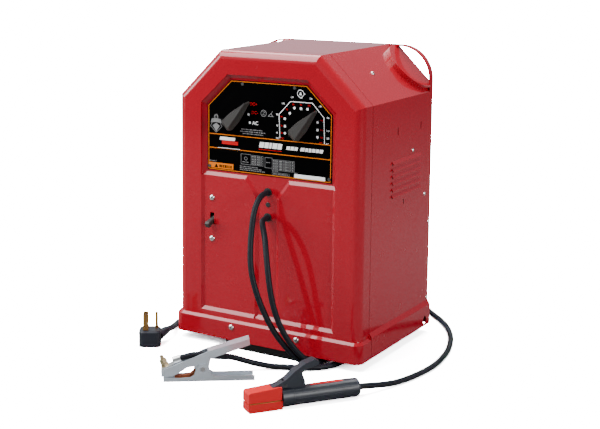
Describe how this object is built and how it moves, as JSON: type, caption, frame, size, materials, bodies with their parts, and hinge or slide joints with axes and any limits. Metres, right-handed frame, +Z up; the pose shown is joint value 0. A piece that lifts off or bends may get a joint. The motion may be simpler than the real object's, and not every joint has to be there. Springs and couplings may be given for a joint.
{
  "type": "transformer arc welder",
  "caption": "Upright sheet-metal arc welder with pointer knobs, a fan, carrying holes, mains lead, electrode holder and spring work clamp on rubber cables.",
  "frame": {"origin": "on the floor under the middle of the case", "axes": "+Z up, the front panel faces -Y, +X to the right seen from the front"},
  "size_m": [0.6221, 0.8152, 0.622],
  "materials": {
    "red_paint": "gloss",
    "black_steel": "satin",
    "zinc_sheet": "satin",
    "plate_black": "satin",
    "zinc_screw": "bright",
    "knob_black": "satin",
    "shaft_steel": "bright",
    "switch_phenolic": "matt",
    "bushing_black": "matt",
    "lamination": "matt",
    "winding_copper": "satin",
    "sink_aluminium": "satin",
    "diode_metal": "bright",
    "motor_black": "satin",
    "cable_rubber": "matt",
    "mains_rubber": "matt",
    "blade_brass": "bright",
    "holder_grip": "satin",
    "holder_red": "satin",
    "pin_steel": "bright",
    "clamp_zinc": "satin",
    "stud_brass": "bright",
    "lug_tin": "bright",
    "braid_copper": "matt"
  },
  "bodies": {
    "case": {"base_channel": "black_steel", "cable_bushings": "bushing_black", "case_wrap": "red_paint", "choke_coil": "winding_copper", "choke_core": "lamination", "clamp_braid": "braid_copper", "clamp_lower_arm": "clamp_zinc", "clamp_pivot": "pin_steel", "clamp_spring": "pin_steel", "component_shelf": "zinc_sheet", "electrode_cable_coil": "cable_rubber", "electrode_cable_front": "cable_rubber", "electrode_cable_rear": "cable_rubber", "fan_bracket": "black_steel", "fan_guard": "black_steel", "fan_motor": "motor_black", "front_shell": "red_paint", "holder_handle": "holder_grip", "holder_lower_contact": "blade_brass", "holder_lower_jaw": "holder_red", "holder_pivot_pin": "pin_steel", "holder_spring": "pin_steel", "hole_plug": "bushing_black", "nameplate": "plate_black", "nameplate_rivets": "zinc_screw", "panel_screws": "zinc_screw", "plug_blades": "blade_brass", "plug_body": "mains_rubber", "polarity_switch": "switch_phenolic", "power_cord_coil": "mains_rubber", "power_cord_front": "mains_rubber", "power_cord_rear": "mains_rubber", "power_cord_relief": "mains_rubber", "power_switch_body": "switch_phenolic", "primary_coil": "winding_copper", "range_switch": "switch_phenolic", "rear_panel": "red_paint", "rectifier_diodes": "diode_metal", "rectifier_heatsinks": "sink_aluminium", "secondary_coil": "winding_copper", "skirt_screws": "zinc_screw", "transformer_brackets": "zinc_sheet", "transformer_core": "lamination", "work_cable_coil": "cable_rubber", "work_cable_front": "cable_rubber", "work_cable_return": "cable_rubber"},
    "polarity_selector": {"polarity_knob": "knob_black", "polarity_shaft": "shaft_steel"},
    "range_selector": {"range_knob": "knob_black", "range_shaft": "shaft_steel"},
    "power_lever": {"power_toggle": "knob_black"},
    "fan": {"fan_blade": "sink_aluminium", "fan_shaft": "shaft_steel"},
    "clamp_upper": {"clamp_upper_arm": "clamp_zinc", "clamp_stud": "stud_brass", "cable_lug": "lug_tin", "work_cable_clamp_end": "cable_rubber"},
    "holder_jaw": {"holder_lever": "holder_grip", "holder_upper_jaw": "holder_red", "holder_upper_contact": "blade_brass"}
  },
  "joints": [
    {"name": "polarity_turn", "type": "hinge", "parent": "case", "child": "polarity_selector", "pos_m": [-0.08, -0.15, 0.481], "axis": [0, -1, 0], "range_deg": [-54, 0]},
    {"name": "range_turn", "type": "hinge", "parent": "case", "child": "range_selector", "pos_m": [0.075, -0.15, 0.473], "axis": [0, -1, 0], "range_deg": [-66, 154]},
    {"name": "power_tilt", "type": "hinge", "parent": "case", "child": "power_lever", "pos_m": [-0.132, -0.15, 0.268], "axis": [-1, 0, 0], "range_deg": [0, 50]},
    {"name": "fan_spin", "type": "hinge", "parent": "case", "child": "fan", "pos_m": [0, 0.133, 0.392], "axis": [0, 1, 0], "continuous": true},
    {"name": "clamp_open", "type": "hinge", "parent": "case", "child": "clamp_upper", "pos_m": [-0.02573, -0.35417, 0.024], "axis": [-0.599, 0.8007, 0], "range_deg": [0, 20], "stiffness_Nm_per_rad": 3, "springref_deg": -11.46, "deforming": ["clamp_braid", "clamp_spring", "work_cable_clamp_end"]},
    {"name": "holder_squeeze", "type": "hinge", "parent": "case", "child": "holder_jaw", "pos_m": [0.17897, -0.39371, 0.0415], "axis": [-0.806, 0.592, 0], "range_deg": [0, 12], "stiffness_Nm_per_rad": 4, "springref_deg": -8.59, "deforming": ["holder_spring"]}
  ]
}
